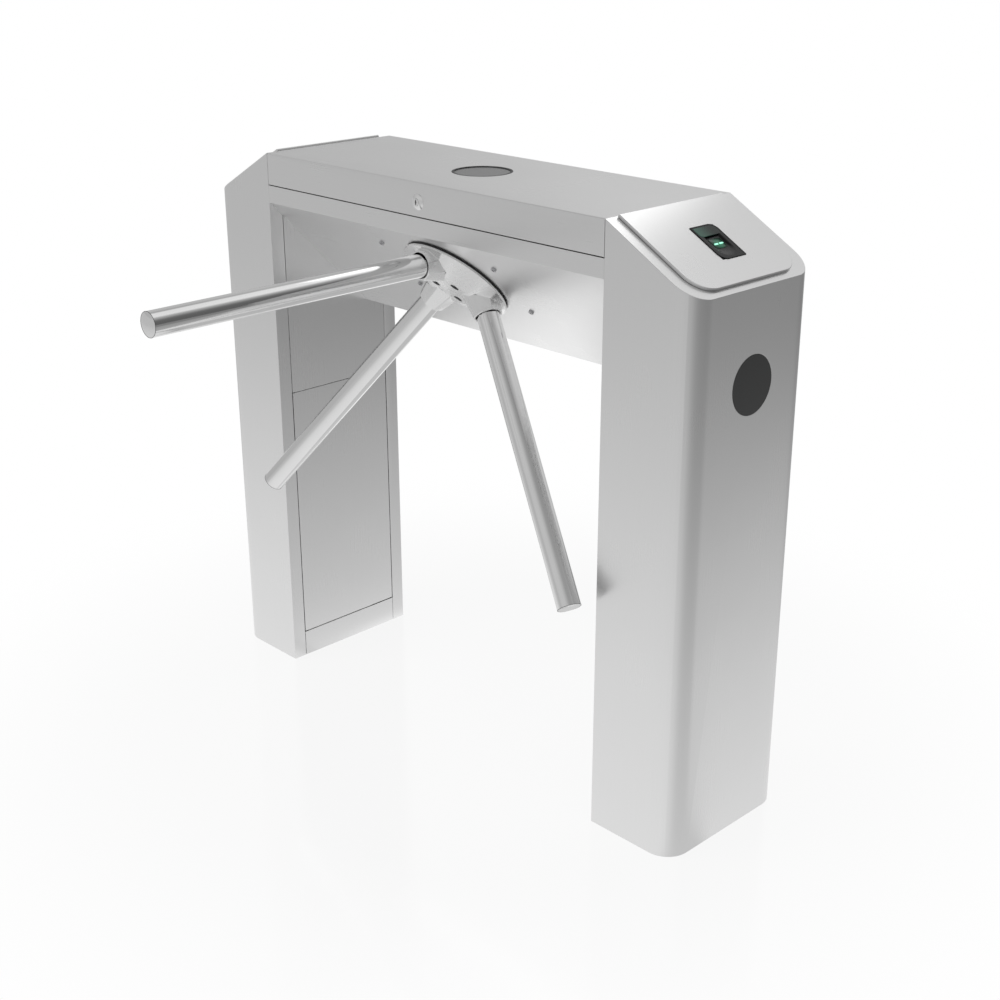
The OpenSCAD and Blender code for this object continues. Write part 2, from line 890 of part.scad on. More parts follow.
module hub() {
  color(bright) difference() {
    union() {
      on_axis() {
        translate([0, 0, hub_back]) cylinder(r = hub_r, h = hub_rim);
        hull() {
          translate([0, 0, hub_back + hub_rim - 1])
            cylinder(r = hub_r - 1.5, h = 1, $fn = 48);
          translate([0, 0, hub_face - 1])
            cylinder(r = hub_face_r, h = 1, $fn = 6);
        }
      }
      intersection() {
        on_axis() translate([0, 0, hub_back]) cylinder(r = hub_r + 30, h = 80);
        union() {
          for (angle = arm_angles)
            on_arm(angle) translate([0, 0, socket_in]) rotate([0, 0, 22.5])
              cylinder(r1 = socket_in_r, r2 = socket_r,
                       h = socket_end - socket_in, $fn = 8);
        }
      }
    }
    for (angle = arm_angles)
      on_arm(angle) {
        translate([0, 0, arm_seat]) cylinder(d = arm_d, h = 60);
        translate([0, 0, socket_end - mouth_deep])
          cylinder(d = arm_d + 2 * mouth_gap, h = 60);
        translate([0, 0, socket_in]) cylinder(d = 8, h = 80);
        translate([0, 0, socket_in]) cylinder(d = 15, h = arm_seat - 6 - socket_in);
      }
    on_axis() hub_screw_places() {
      translate([0, 0, hub_back - 2]) cylinder(d = hub_screw_d, h = 40);
      translate([0, 0, hub_face - hub_sink]) cylinder(d = hub_head_d + 2, h = 40);
    }
  }
}

module socket_screw(thread, head, head_h, length) {
  difference() {
    union() {
      translate([0, 0, -length]) cylinder(d = thread, h = length + 0.5);
      cylinder(d = head, h = head_h);
    }
    translate([0, 0, head_h - head_h * 0.6])
      cylinder(d = head * 0.55, h = head_h, $fn = 6);
  }
}

module hub_screws() {
  color(dark) on_axis() hub_screw_places()
    translate([0, 0, hub_face - hub_sink])
      socket_screw(hub_screw_d, hub_head_d, 8, 20);
}

module hub_collar() {
  color(dark) on_axis()
    ring(collar_d / 2, flange_r + 5, apex_deep, collar_front);
}

// Arms: capped tubes with a threaded block welded into the inner end

module arm(angle) {
  color(bright) on_arm(angle) difference() {
    translate([0, 0, arm_seat]) cylinder(d = arm_d, h = arm_reach - arm_seat);
    translate([0, 0, arm_seat + 25])
      cylinder(d = arm_d - 2 * arm_wall, h = arm_reach);
    translate([0, 0, arm_seat - 1]) cylinder(d = 8, h = 30);
  }
}

module front_arm() {
  arm(arm_angles[0]);
}

module left_arm() {
  arm(arm_angles[1]);
}

module right_arm() {
  arm(arm_angles[2]);
}

module arm_cap(angle) {
  r = (arm_r * arm_r + cap_dome * cap_dome) / (2 * cap_dome);
  color(bright) on_arm(angle) translate([0, 0, arm_reach]) {
    translate([0, 0, -cap_plug])
      cylinder(d = arm_d - 2 * arm_wall, h = cap_plug + 0.5);
    rotate_extrude() intersection() {
      translate([0, cap_dome - r]) circle(r = r, $fn = 720);
      square([arm_r, cap_dome + 1]);
    }
  }
}

module front_arm_cap() {
  arm_cap(arm_angles[0]);
}

module left_arm_cap() {
  arm_cap(arm_angles[1]);
}

module right_arm_cap() {
  arm_cap(arm_angles[2]);
}

module arm_clamp_screws() {
  color(zinc)
    for (angle = arm_angles)
      on_arm(angle) translate([0, 0, arm_seat - 6]) rotate([180, 0, 0])
        socket_screw(8, 13, 6, 28);
}

// Main shaft with the flange that the hub is screwed to

module main_shaft() {
  color(zinc) on_axis() difference() {
    union() {
      translate([0, 0, hub_back - flange_t]) cylinder(r = flange_r, h = flange_t);
      translate([0, 0, rear_end + shoulder_gap])
        cylinder(r = shaft_r, h = hub_back - flange_t + 1 - rear_end - shoulder_gap);
      translate([0, 0, rear_end - motor_l]) cylinder(r = tail_r, h = motor_l + 1);
    }
    hub_screw_places() translate([0, 0, hub_back - 10])
      cylinder(d = hub_screw_d, h = 20);
  }
}

module bearing(low) {
  on_axis() difference() {
    translate([0, 0, low]) cylinder(r = bearing_r, h = bearing_t);
    translate([0, 0, low - 1]) cylinder(r = shaft_r + run_fit, h = bearing_t + 2);
    for (z = [low - 1, low + bearing_t - 1])
      ring(bearing_r - 4, shaft_r + 4, z, z + 2);
  }
}

module front_bearing() {
  color(zinc) bearing(plate_back - 2 - bearing_t);
}

module rear_bearing() {
  color(zinc) bearing(rear_end);
}

// Plates that carry the shaft behind the slope

module mechanism_plate() {
  color(zinc) on_axis() difference() {
    union() {
      translate([-mech_half, -mech_down, plate_back])
        cube([2 * mech_half, mech_down + mech_up, plate_t]);
      translate([0, 0, boss_back]) cylinder(r = boss_r, h = plate_back - boss_back + 1);
    }
    translate([0, 0, boss_back - 1])
      cylinder(r = bearing_r, h = plate_back - 2 - boss_back + 1);
    translate([0, 0, boss_back - 1]) cylinder(r = shaft_r + 8, h = 60);
    translate([0, 0, plate_back]) cylinder(r = flange_r + 2, h = 40);
    screw_places() translate([0, 0, plate_back - 1]) cylinder(d = 6, h = plate_t + 2);
    for (side = [-1, 1])
      translate([side * pawl_x, pawl_y, plate_back - 1])
        cylinder(r = pin_r, h = plate_t + 2);
  }
}

module mechanism_screws() {
  color(dark) on_axis() screw_places()
    translate([0, 0, apex_deep]) socket_screw(6, 9, 2.6, 10);
}

module rear_plate() {
  color(zinc) on_axis() difference() {
    union() {
      translate([-rear_half, -rear_side, rear_back])
        cube([2 * rear_half, 2 * rear_side, rear_t]);
      translate([0, 0, rear_end]) cylinder(r = boss_r, h = bearing_t + 1);
    }
    translate([0, 0, rear_end - 1]) cylinder(r = bearing_r, h = bearing_t + 1);
    translate([0, 0, rear_end - 1]) cylinder(r = shaft_r + 8, h = 60);
  }
}

module plate_pillars() {
  color(zinc) on_axis()
    for (side = [-1, 1], way = [-1, 1])
      translate([side * pillar_span / 2, way * pillar_y, rear_front])
        cylinder(r = pillar_r, h = plate_back - rear_front);
}

// Locking wheel, pawls and the solenoids that pull them in

module locking_wheel() {
  color(zinc) on_axis() difference() {
    union() {
      translate([0, 0, wheel_front - wheel_t]) cylinder(r = wheel_r, h = wheel_t);
      translate([0, 0, wheel_front - wheel_t - 8]) cylinder(r = 24, h = 9);
    }
    translate([0, 0, wheel_front - wheel_t - 9])
      cylinder(r = shaft_r, h = wheel_t + 10);
    for (i = [0 : 2])
      rotate([0, 0, 120 * i + 30])
        translate([roller_ring * 0.75, 0, wheel_front - wheel_t - 1])
          cylinder(d = 18, h = wheel_t + 2);
    roller_places() translate([0, 0, wheel_front - wheel_t - 1])
      cylinder(r = roller_pin_r, h = wheel_t + 2);
  }
}

module roller_places() {
  for (i = [0 : 2], side = [-1, 1])
    rotate([0, 0, 120 * i + 90 + side * (90 + roller_turn)])
      translate([roller_ring, 0, 0]) children();
}

module stop_rollers() {
  color(zinc) on_axis() roller_places() {
    translate([0, 0, wheel_front]) cylinder(d = roller_d, h = pawl_t - wheel_front);
    translate([0, 0, wheel_front - wheel_t]) cylinder(r = roller_pin_r, h = wheel_t);
  }
}

module pawl() {
  tip = wheel_r + 3;
  difference() {
    union() {
      translate([pawl_x, pawl_y, 0]) cylinder(r = pin_r + 4, h = pawl_t);
      translate([pawl_x + 3, pawl_y, 0]) cube([10, 4 - pawl_y, pawl_t]);
      translate([tip, -4, 0]) cube([pawl_x + 5 - tip, 8, pawl_t]);
      translate([pawl_x, pawl_y - 4, 0]) cube([tail_x + 7 - pawl_x, 8, pawl_t]);
    }
    translate([pawl_x, pawl_y, -1]) cylinder(r = pin_r + run_fit, h = pawl_t + 2);
    translate([tail_x, pawl_y - 10, pawl_t / 2]) rotate([-90, 0, 0])
      cylinder(d = 6.4, h = 20);
  }
}

module left_pawl() {
  color(zinc) on_axis() mirror([1, 0, 0]) pawl();
}

module right_pawl() {
  color(zinc) on_axis() pawl();
}

module pawl_pins() {
  color(zinc) on_axis()
    for (side = [-1, 1])
      translate([side * pawl_x, pawl_y, 0]) {
        translate([0, 0, -4]) cylinder(r = pin_r, h = plate_back + plate_t + 4);
        translate([0, 0, pawl_t + 1])
          cylinder(r = pin_r + 3, h = plate_back - pawl_t - 1);
      }
}

module solenoid() {
  difference() {
    union() {
      translate([tail_x - 18, -28, -8]) cube([36, 50, 26]);
      translate([tail_x - 18, -28, 17]) cube([36, 3, plate_back - 17]);
      translate([tail_x - 18, 19, 17]) cube([36, 3, plate_back - 17]);
      translate([tail_x - 18, -28, plate_back - 3]) cube([36, 50, 3]);
    }
    translate([tail_x, -30, pawl_t / 2]) rotate([-90, 0, 0])
      cylinder(d = plunger_d + 2 * run_fit, h = 44);
  }
}

module left_solenoid() {
  color(zinc) on_axis() mirror([1, 0, 0]) solenoid();
}

module right_solenoid() {
  color(zinc) on_axis() solenoid();
}

module plunger() {
  translate([tail_x, 0, pawl_t / 2]) rotate([90, 0, 0]) {
    translate([0, 0, -4]) cylinder(d = plunger_d, h = 48);
    cylinder(d = 4, h = 62);
    translate([0, 0, -pawl_y + 5.8]) cylinder(d = 9, h = 3);
  }
}

module left_plunger() {
  color(zinc) on_axis() mirror([1, 0, 0]) plunger();
}

module right_plunger() {
  color(zinc) on_axis() plunger();
}

// Gearmotor on the rear bearing housing

module gearmotor() {
  front = rear_end;
  color([0.16, 0.17, 0.18]) on_axis() difference() {
    union() {
      translate([0, 0, front - motor_flange_t])
        cylinder(r = boss_r, h = motor_flange_t);
      translate([0, 0, front - motor_l - 4])
        cylinder(d = motor_d, h = motor_l + 4 - motor_flange_t + 1);
    }
    translate([0, 0, front - motor_l - 0.6])
      cylinder(r = tail_r + run_fit, h = motor_l + 1);
    for (i = [0 : 11])
      rotate([0, 0, 30 * i]) translate([motor_d / 2 - 2, -1.5, front - motor_l])
        cube([4, 3, motor_l - motor_flange_t - 6]);
  }
}

// Electrics behind the doors

module control_board() {
  back = rear_y - sheet_t;
  x = half_l - corner_r - board_l - 2;
  z = kick_h + electrics_up;
  color([0.06, 0.30, 0.16]) {
    translate([x, back - 11.6, z]) cube([board_l, 1.6, board_h]);
    for (dx = [6, board_l - 6], dz = [6, board_h - 6])
      translate([x + dx, back, z + dz]) rotate([90, 0, 0]) cylinder(d = 6, h = 11);
    for (i = [0 : 3])
      translate([x + 10 + 23 * i, back - 24, z + 6]) cube([19, 13, 12]);
    for (i = [0 : 3])
      translate([x + 10 + 23 * i, back - 27, z + 28]) cube([16, 16, 20]);
    translate([x + 34, back - 14, z + 76]) cube([36, 3, 36]);
    translate([x + 12, back - 20, z + board_h - 40]) cube([board_l - 24, 9, 12]);
    for (dx = [20, board_l - 20])
      translate([x + dx, back - 11, z + 100]) rotate([90, 0, 0])
        cylinder(d = 12, h = 16);
  }
}

module power_supply() {
  back = rear_y - sheet_t;
  x = corner_r - half_l + 2;
  z = kick_h + electrics_up;
  color([0.66, 0.67, 0.68])
    difference() {
      translate([x, back - 40, z]) cube([supply_l, 40, supply_h]);
      translate([x + 4, back - 42, z - 4]) cube([supply_l - 8, 18, 22]);
      for (i = [0 : 9])
        translate([x + 10, back - 41, z + 40 + 11 * i])
          cube([supply_l - 20, 3, 4]);
    }
}

left_column();
right_column();
left_base();
right_base();
left_upper_panel();
right_upper_panel();
left_door();
right_door();
door_hinge_pins();
beam();
beam_bolts();
lid();
hinge_leaf_beam();
hinge_leaf_lid();
hinge_rod();
lock_body();
lock_plug();
lock_cam();
lid_catch();
top_lens_ring();
top_lens();
top_lamp_board();
left_end_lens();
right_end_lens();
left_lamp_board();
right_lamp_board();
left_cover_plate();
right_cover_plate();
reader_body();
reader_window();
reader_lights();
hub();
hub_screws();
hub_collar();
front_arm();
left_arm();
right_arm();
front_arm_cap();
left_arm_cap();
right_arm_cap();
arm_clamp_screws();
main_shaft();
front_bearing();
rear_bearing();
mechanism_plate();
mechanism_screws();
rear_plate();
plate_pillars();
locking_wheel();
stop_rollers();
left_pawl();
right_pawl();
pawl_pins();
left_solenoid();
right_solenoid();
left_plunger();
right_plunger();
gearmotor();
control_board();
power_supply();
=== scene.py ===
import json
import math

import bmesh
import bpy
from bpy.props import FloatProperty, FloatVectorProperty, PointerProperty
from mathutils import Matrix, Vector

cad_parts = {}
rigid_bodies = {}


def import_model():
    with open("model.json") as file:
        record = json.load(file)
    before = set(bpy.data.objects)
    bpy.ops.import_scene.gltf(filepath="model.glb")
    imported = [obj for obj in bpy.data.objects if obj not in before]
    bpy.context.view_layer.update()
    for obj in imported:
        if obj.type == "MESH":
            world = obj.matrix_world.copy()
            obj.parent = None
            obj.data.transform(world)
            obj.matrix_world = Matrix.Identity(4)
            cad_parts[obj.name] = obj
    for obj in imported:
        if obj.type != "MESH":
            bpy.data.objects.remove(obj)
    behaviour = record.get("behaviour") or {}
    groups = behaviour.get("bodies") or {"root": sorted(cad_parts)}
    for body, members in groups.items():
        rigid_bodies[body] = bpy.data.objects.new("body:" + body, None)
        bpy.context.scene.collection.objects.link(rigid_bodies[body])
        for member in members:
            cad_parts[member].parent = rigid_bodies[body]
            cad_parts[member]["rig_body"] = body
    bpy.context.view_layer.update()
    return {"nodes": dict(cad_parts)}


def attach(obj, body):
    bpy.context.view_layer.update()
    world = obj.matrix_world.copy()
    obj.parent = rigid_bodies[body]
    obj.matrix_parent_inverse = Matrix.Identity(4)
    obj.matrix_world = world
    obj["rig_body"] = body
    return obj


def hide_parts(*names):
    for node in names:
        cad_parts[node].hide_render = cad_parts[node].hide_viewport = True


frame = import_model()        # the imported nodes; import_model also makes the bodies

bl_info = {
    "name": "Tripod turnstile",
    "version": (1, 0, 0),
    "blender": (4, 5, 0),
    "location": "View3D > Sidebar > Turnstile",
    "description": "Dresses the packed turnstile: steel finishes, soft folds, reader and studio",
    "category": "Object",
}

MM = 0.001

# Places that the source of the part fixes, in metres
SLOPE_TOP = Vector((0.395, 0.0, 0.985))
SLOPE_DROP = math.atan2(92.0, 165.0)
HUB_CENTRE = Vector((0.0, -0.026014, 0.852048))
HUB_TILT = math.radians(135)
ARM_ANGLES = {"front": 0.0, "left": 120.0, "right": 240.0}
ARM_LENGTH = 0.614
ARM_RADIUS = 0.019
COVER_THICKNESS = 0.005
BARS_DOWN = 0.003        # the lit bars' distance down the slope from the reader's centre

# The camera that a fit to the cabinet's edges in the photograph gave, on a 36 mm wide sensor
CAMERA_PLACE = (1.83042, -1.73828, 1.42268)
CAMERA_TURN = [math.radians(angle) for angle in (68.1554, 0.1014, 45.8119)]
CAMERA_LENS = 55.671


# ---------------------------------------------------------------- settings


def linear(hex_colour):
    """An sRGB hex colour as linear red, green, blue and alpha."""
    out = []
    for start in (1, 3, 5):
        value = int(hex_colour[start:start + 2], 16) / 255
        out.append(value / 12.92 if value <= 0.04045 else ((value + 0.055) / 1.055) ** 2.4)
    return (*out, 1.0)


def colour_setting(name, description, hex_colour):
    return FloatVectorProperty(
        name=name, description=description, subtype="COLOR", size=4,
        min=0.0, max=1.0, default=linear(hex_colour))


def length_setting(name, description, millimetres):
    return FloatProperty(
        name=name, description=description, default=millimetres * MM,
        min=0.0, unit="LENGTH", subtype="DISTANCE", precision=5)


class TurnstileSizes(bpy.types.PropertyGroup):
    """Sizes of the dressed pieces"""

    fold: length_setting("Fold radius", "Radius of the bent and deburred sheet edges", 0.7)
    plate_edge: length_setting("Plate edge", "Radius of the raised cover plates' edges", 1.6)
    hub_edge: length_setting("Hub edge", "Radius of the polished hub's edges", 1.1)
    seam_wire: length_setting("Cap seam", "Half width of the seam line at an arm's cap", 0.35)
    reader_long: length_setting("Reader length", "Length of the reader down the slope", 73)
    reader_wide: length_setting("Reader width", "Width of the reader", 53)
    reader_down: length_setting("Reader place", "Distance of its centre down the slope", 94)
    reader_side: length_setting("Reader offset", "Distance of its centre behind the middle", 7)
    reader_high: length_setting("Reader height", "Height of its face above the cover plate", 1.2)
    reader_deep: length_setting("Reader neck", "Depth of its neck under the slope", 16)
    reader_round: length_setting("Reader corner", "Radius of its two round corners", 14)


class TurnstileColours(bpy.types.PropertyGroup):
    """Colours of the finishes"""

    sheet: colour_setting("Sheet", "Brushed stainless sheet", "#dddddd")
    polished: colour_setting("Polished", "Polished stainless tube and hub", "#dfdfdf")
    zinc: colour_setting("Zinc", "Zinc plated steel", "#b4b8ba")
    machined: colour_setting("Machined", "Turned and milled steel", "#a9abad")
    blackened: colour_setting("Blackened", "Black oxide on the socket screws", "#343537")
    black: colour_setting("Black plastic", "Moulded ABS", "#1b1c1e")
    housing: colour_setting("Reader housing", "Gloss black ABS of the reader", "#090a0b")
    top_lens: colour_setting("Top lens", "Grey acrylic of the lamp in the lid", "#4a4a4b")
    end_lens: colour_setting("End lens", "Smoked acrylic of the end lamps", "#151616")
    tint: colour_setting("Tinted cover", "Green acrylic at the reader's upper end", "#35564a")
    glass: colour_setting("Sensor glass", "Light scattered in the glass over the sensor", "#0d6446")
    light: colour_setting("Sensor light", "Light of the sensor's lit bars", "#9df2cf")
    board: colour_setting("Board", "Solder mask on the circuit boards", "#1e6a3c")
    motor: colour_setting("Motor", "Black enamel on the gearmotor", "#26282b")
    case: colour_setting("Supply case", "Aluminium case of the power supply", "#b3b6b8")
    studio: colour_setting("Studio", "Floor and backdrop", "#ffffff")


# ---------------------------------------------------------------- materials


def add_node(tree, kind, inputs=None, **settings):
    """Adds one node. inputs maps its sockets to values or to the sockets that feed them."""
    made = tree.nodes.new(kind)
    for key, value in settings.items():
        setattr(made, key, value)
    for key, value in (inputs or {}).items():
        if isinstance(value, bpy.types.NodeSocket):
            tree.links.new(value, made.inputs[key])
        else:
            made.inputs[key].default_value = value
    return made


def new_material(name):
    made = bpy.data.materials.new(name)
    made.use_nodes = True
    made.node_tree.nodes.clear()
    return made, made.node_tree


def close_tree(tree, surface):
    add_node(tree, "ShaderNodeOutputMaterial", {"Surface": surface})


def reckon(tree, operation, *values):
    """The result of a Math node on its values, by an operation such as ADD or MULTIPLY."""
    return add_node(tree, "ShaderNodeMath", dict(enumerate(values)),
                    operation=operation).outputs[0]


def shades(tree, factor, colour, low, high):
    """The colour, darkened by low and lightened by high where the factor goes from 0 to 1."""
    dark = [c * low for c in colour[:3]] + [1.0]
    pale = [min(1.0, c * high) for c in colour[:3]] + [1.0]
    return add_node(tree, "ShaderNodeMix", {"Factor": factor, "A": dark, "B": pale},
                    data_type="RGBA").outputs["Result"]


def noise(tree, place, size, detail, roughness=0.5):
    """Noise from 0 to 1, with patches of a size in metres."""
    return add_node(tree, "ShaderNodeTexNoise", {
        "Vector": place, "Scale": 1 / size, "Detail": detail,
        "Roughness": roughness}).outputs["Fac"]


def relief(tree, height, strength, depth):
    return add_node(tree, "ShaderNodeBump", {
        "Height": height, "Strength": strength, "Distance": depth}).outputs[0]


def ease(tree, value, start_end, low_high):
    """The value, smoothly carried from one range to another."""
    return add_node(tree, "ShaderNodeMapRange", {
        "Value": value, "From Min": start_end[0], "From Max": start_end[1],
        "To Min": low_high[0], "To Max": low_high[1]},
        interpolation_type="SMOOTHSTEP").outputs["Result"]


def spread(tree, factor, low, high):
    """The middle of a noise, carried to a range of roughness."""
    return add_node(tree, "ShaderNodeMapRange", {
        "Value": factor, "From Min": 0.3, "From Max": 0.7,
        "To Min": low, "To Max": high}).outputs["Result"]


GRAIN_FINE = 0.0007      # real belt grain is about 0.1 mm apart; 0.7 mm is the finest that shows
GRAIN_LONG = 0.16        # a streak fades out after some 160 mm
CLOUD = 0.11             # soft unevenness of the polishing, in patches of about 110 mm

# The reader's dark pieces count as coated against glare: they mirror less light than the
# 1.5 of bare ABS and acrylic gives
DARK_GLOSS_IOR = 1.33
SMOKED_IOR = 1.35
PAINTED_REFLECTION_RANGE = (-0.018, 0.020)      # across the turnstile, from the pale side of the painted reflection to the smoked side
GLOW_REACH = (0.003, 0.013)         # distances from the lit bars at which the painted glow fades


# Each finish below returns the inputs of its Principled shader. place is the place on the
# part in metres, and colour is the setting that FINISHES names.


def brushed_sheet(tree, place, colour, grain):
    """Stainless 304 sheet, belt brushed to a satin finish: soft grey reflections, faint
    straight grain along one direction and slightly cloudy sheen."""
    across, along = 1 / GRAIN_FINE, 1 / GRAIN_LONG
    scale = (across, across, along) if grain == "upright" else (along, across, across)
    turn = (0.0, -SLOPE_DROP, 0.0) if grain == "down the slope" else (0.0, 0.0, 0.0)
    turned = add_node(tree, "ShaderNodeMapping", {"Vector": place, "Rotation": turn})
    drawn = add_node(tree, "ShaderNodeMapping", {"Vector": turned.outputs[0], "Scale": scale})
    streaks = noise(tree, drawn.outputs[0], 1.0, 3.0, 0.65)
    clouds = noise(tree, place, CLOUD, 2.0)
    return {"Base Color": shades(tree, streaks, colour, 0.975, 1.025), "Metallic": 1.0,
            "Roughness": reckon(tree, "ADD", spread(tree, streaks, 0.275, 0.295),
                                spread(tree, clouds, -0.01, 0.015)),
            "Normal": relief(tree, streaks, 0.02, 0.00005)}


def polished_steel(tree, place, colour):
    """Stainless 304, buffed to a near mirror: sharp reflections with a faint haze and fine
    marks left round the tube by the buffing wheel."""
    marks = noise(tree, place, 0.012, 4.0, 0.6)
    haze = noise(tree, place, 0.06, 1.0)
    return {"Base Color": shades(tree, haze, colour, 0.97, 1.03), "Metallic": 1.0,
            "Roughness": reckon(tree, "ADD", spread(tree, marks, 0.075, 0.10),
                                spread(tree, haze, 0.0, 0.02))}


def satin_casting(tree, place, colour):
    """Cast stainless 304, ground and satin polished by hand: soft, slightly uneven reflections
    with the faint pits of the casting left under the polish."""
    pits = noise(tree, place, 0.0016, 3.0, 0.6)
    waves = noise(tree, place, 0.022, 2.0)
    return {"Base Color": shades(tree, pits, colour, 0.97, 1.02), "Metallic": 1.0,
            "Roughness": spread(tree, waves, 0.24, 0.30),
            "Normal": relief(tree, waves, 0.10, 0.0004)}


def blackened_steel(tree, place, colour):
    """Alloy steel screws in black oxide: nearly black, with an oily half gloss and worn tops."""
    film = noise(tree, place, 0.004, 3.0)
    return {"Base Color": shades(tree, film, colour, 0.85, 1.2), "Metallic": 0.8,
            "Roughness": spread(tree, film, 0.34, 0.46)}


def plated_steel(tree, place, colour):
    """Mild steel, zinc plated and passivated: pale grey with a mottled, slightly blue sheen."""
    spangle = add_node(tree, "ShaderNodeTexVoronoi", {"Vector": place, "Scale": 1 / 0.006})
    grey = add_node(tree, "ShaderNodeRGBToBW", {"Color": spangle.outputs["Color"]})
    stain = noise(tree, place, 0.03, 3.0)
    return {"Base Color": shades(tree, grey.outputs[0], colour, 0.88, 1.08), "Metallic": 0.95,
            "Roughness": spread(tree, stain, 0.32, 0.45)}


def machined_steel(tree, place, colour):
    """Carbon steel, turned and milled, lightly oiled: darker grey with fine tool marks."""
    tool = noise(tree, place, 0.0015, 2.0)
    oil = noise(tree, place, 0.025, 2.0)
    return {"Base Color": shades(tree, tool, colour, 0.92, 1.06), "Metallic": 1.0,
            "Roughness": spread(tree, oil, 0.22, 0.36)}


def moulded_plastic(tree, place, colour, rough, grit, ior=1.53):
    """Injection moulded ABS or enamel: an opaque colour under a fine, even spark texture."""
    spark = noise(tree, place, grit, 3.0, 0.7)
    wear = noise(tree, place, 0.02, 3.0)
    return {"Base Color": shades(tree, wear, colour, 0.92, 1.08),
            "Roughness": spread(tree, wear, *rough), "IOR": ior,
            "Normal": relief(tree, spark, 0.12, 0.00008)}


def acrylic_lens(tree, place, colour, rough, prism):
    """Cast acrylic over a lamp: an even tone, a clear gloss and faint ring prisms inside."""
    grain = add_node(tree, "ShaderNodeTexVoronoi", {
        "Vector": place, "Scale": 1 / prism}, feature="SMOOTH_F1")
    return {"Base Color": shades(tree, grain.outputs["Distance"], colour, 0.96, 1.05),
            "Roughness": rough, "IOR": 1.49, "Coat Weight": 0.35, "Coat Roughness": 0.08}


def lit_plastic(tree, place, colour):
    """Light pipe over a diode: pale plastic that glows evenly with softer ends."""
    tone = shades(tree, noise(tree, place, 0.003, 1.0), colour, 0.9, 1.1)
    return {"Base Color": tone, "Roughness": 0.35,
            "Emission Color": tone, "Emission Strength": 0.9}


def smoked_cover_painted_reflection(tree, place, colour):
    """Green acrylic over the reader's upper end, with a painted reflection: paler at one side,
    darker and smoked at the other.
    """
    across = add_node(tree, "ShaderNodeSeparateXYZ", {0: place}).outputs["Y"]
    # Painted reflection: the base colour is paled at one side of the cover, where a lamp shows in
    # its gloss, and darkened at the other
    clear = ease(tree, across, PAINTED_REFLECTION_RANGE, (1.0, 0.0))
    return {"Base Color": shades(tree, clear, colour, 0.12, 1.3), "Roughness": 0.22,
            "IOR": SMOKED_IOR}


def sensor_glass(tree, place, colour):
    """Nearly black coated glass with a painted glow: its base colour and emission grow green and
    pale near the lit bars, standing in for their light spreading in the glass.
    """
    bars = reader_place() @ Vector((BARS_DOWN, 0.0, COVER_THICKNESS))
    away = add_node(tree, "ShaderNodeVectorMath", {0: place, 1: bars},
                    operation="DISTANCE").outputs["Value"]
    # Painted glow: emission and a paler base colour near the bars stand in for their light
    # scattered in the glass
    lit = ease(tree, away, GLOW_REACH, (1.0, 0.0))
    return {"Base Color": shades(tree, lit, colour, 0.05, 0.3), "Roughness": 0.2,
            "IOR": DARK_GLOSS_IOR, "Emission Color": shades(tree, lit, colour, 0.08, 1.0),
            "Emission Strength": 0.8}


def circuit_board(tree, place, colour):
    """Glass fibre board under green solder mask: gloss with a faint grid of copper tracks."""
    tracks = add_node(tree, "ShaderNodeTexBrick", {
        "Vector": place, "Scale": 1 / 0.012, "Mortar Size": 0.04,
        "Color1": [c * 0.8 for c in colour[:3]] + [1.0], "Color2": colour,
        "Mortar": [min(1.0, c * 1.9) for c in colour[:3]] + [1.0]})
    return {"Base Color": tracks.outputs["Color"], "Roughness": 0.32, "IOR": 1.55}


# Finish: the material's name, its colour setting, its function and what that needs besides
FINISHES = {
    "sheet_beam": ("satin_brushed_stainless_beam", "sheet", brushed_sheet,
                   {"grain": "along the beam"}),
    "sheet_column": ("satin_brushed_stainless_column", "sheet", brushed_sheet,
                     {"grain": "upright"}),
    "sheet_slope": ("satin_brushed_stainless_slope", "sheet", brushed_sheet,
                    {"grain": "down the slope"}),
    "polished": ("buffed_stainless", "polished", polished_steel, {}),
    "casting": ("satin_polished_casting", "polished", satin_casting, {}),
    "zinc": ("zinc_plated_steel", "zinc", plated_steel, {}),
    "machined": ("machined_steel", "machined", machined_steel, {}),
    "blackened": ("black_oxide_steel", "blackened", blackened_steel, {}),
    "board": ("solder_mask_board", "board", circuit_board, {}),
    "black": ("moulded_black_abs", "black", moulded_plastic,
              {"rough": (0.42, 0.52), "grit": 0.0008}),
    "housing": ("gloss_reader_abs", "housing", moulded_plastic,
                {"rough": (0.22, 0.32), "grit": 0.0006, "ior": DARK_GLOSS_IOR}),
    "motor": ("black_enamel", "motor", moulded_plastic,
              {"rough": (0.28, 0.40), "grit": 0.0010}),
    "case": ("aluminium_case", "case", moulded_plastic,
             {"rough": (0.35, 0.45), "grit": 0.0012}),
    "top_lens": ("grey_acrylic", "top_lens", acrylic_lens, {"rough": 0.40, "prism": 0.003}),
    "end_lens": ("smoked_acrylic", "end_lens", acrylic_lens, {"rough": 0.28, "prism": 0.004}),
    "tint": ("green_tinted_acrylic", "tint", smoked_cover_painted_reflection, {}),
    "glass": ("lit_sensor_glass", "glass", sensor_glass, {}),
    "light": ("lit_sensor_bar", "light", lit_plastic, {}),
}


def finish(name):
    """The material that a finish name stands for, made the first time it is asked for."""
    material_name, setting, surface, needs = FINISHES[name]
    made = bpy.data.materials.get(material_name)
    if made is None:
        made, tree = new_material(material_name)
        place = add_node(tree, "ShaderNodeTexCoord").outputs["Object"]
        colour = getattr(bpy.context.scene.turnstile_colours, setting)
        shader = add_node(tree, "ShaderNodeBsdfPrincipled",
                          surface(tree, place, colour, **needs))
        close_tree(tree, shader.outputs[0])
    return made


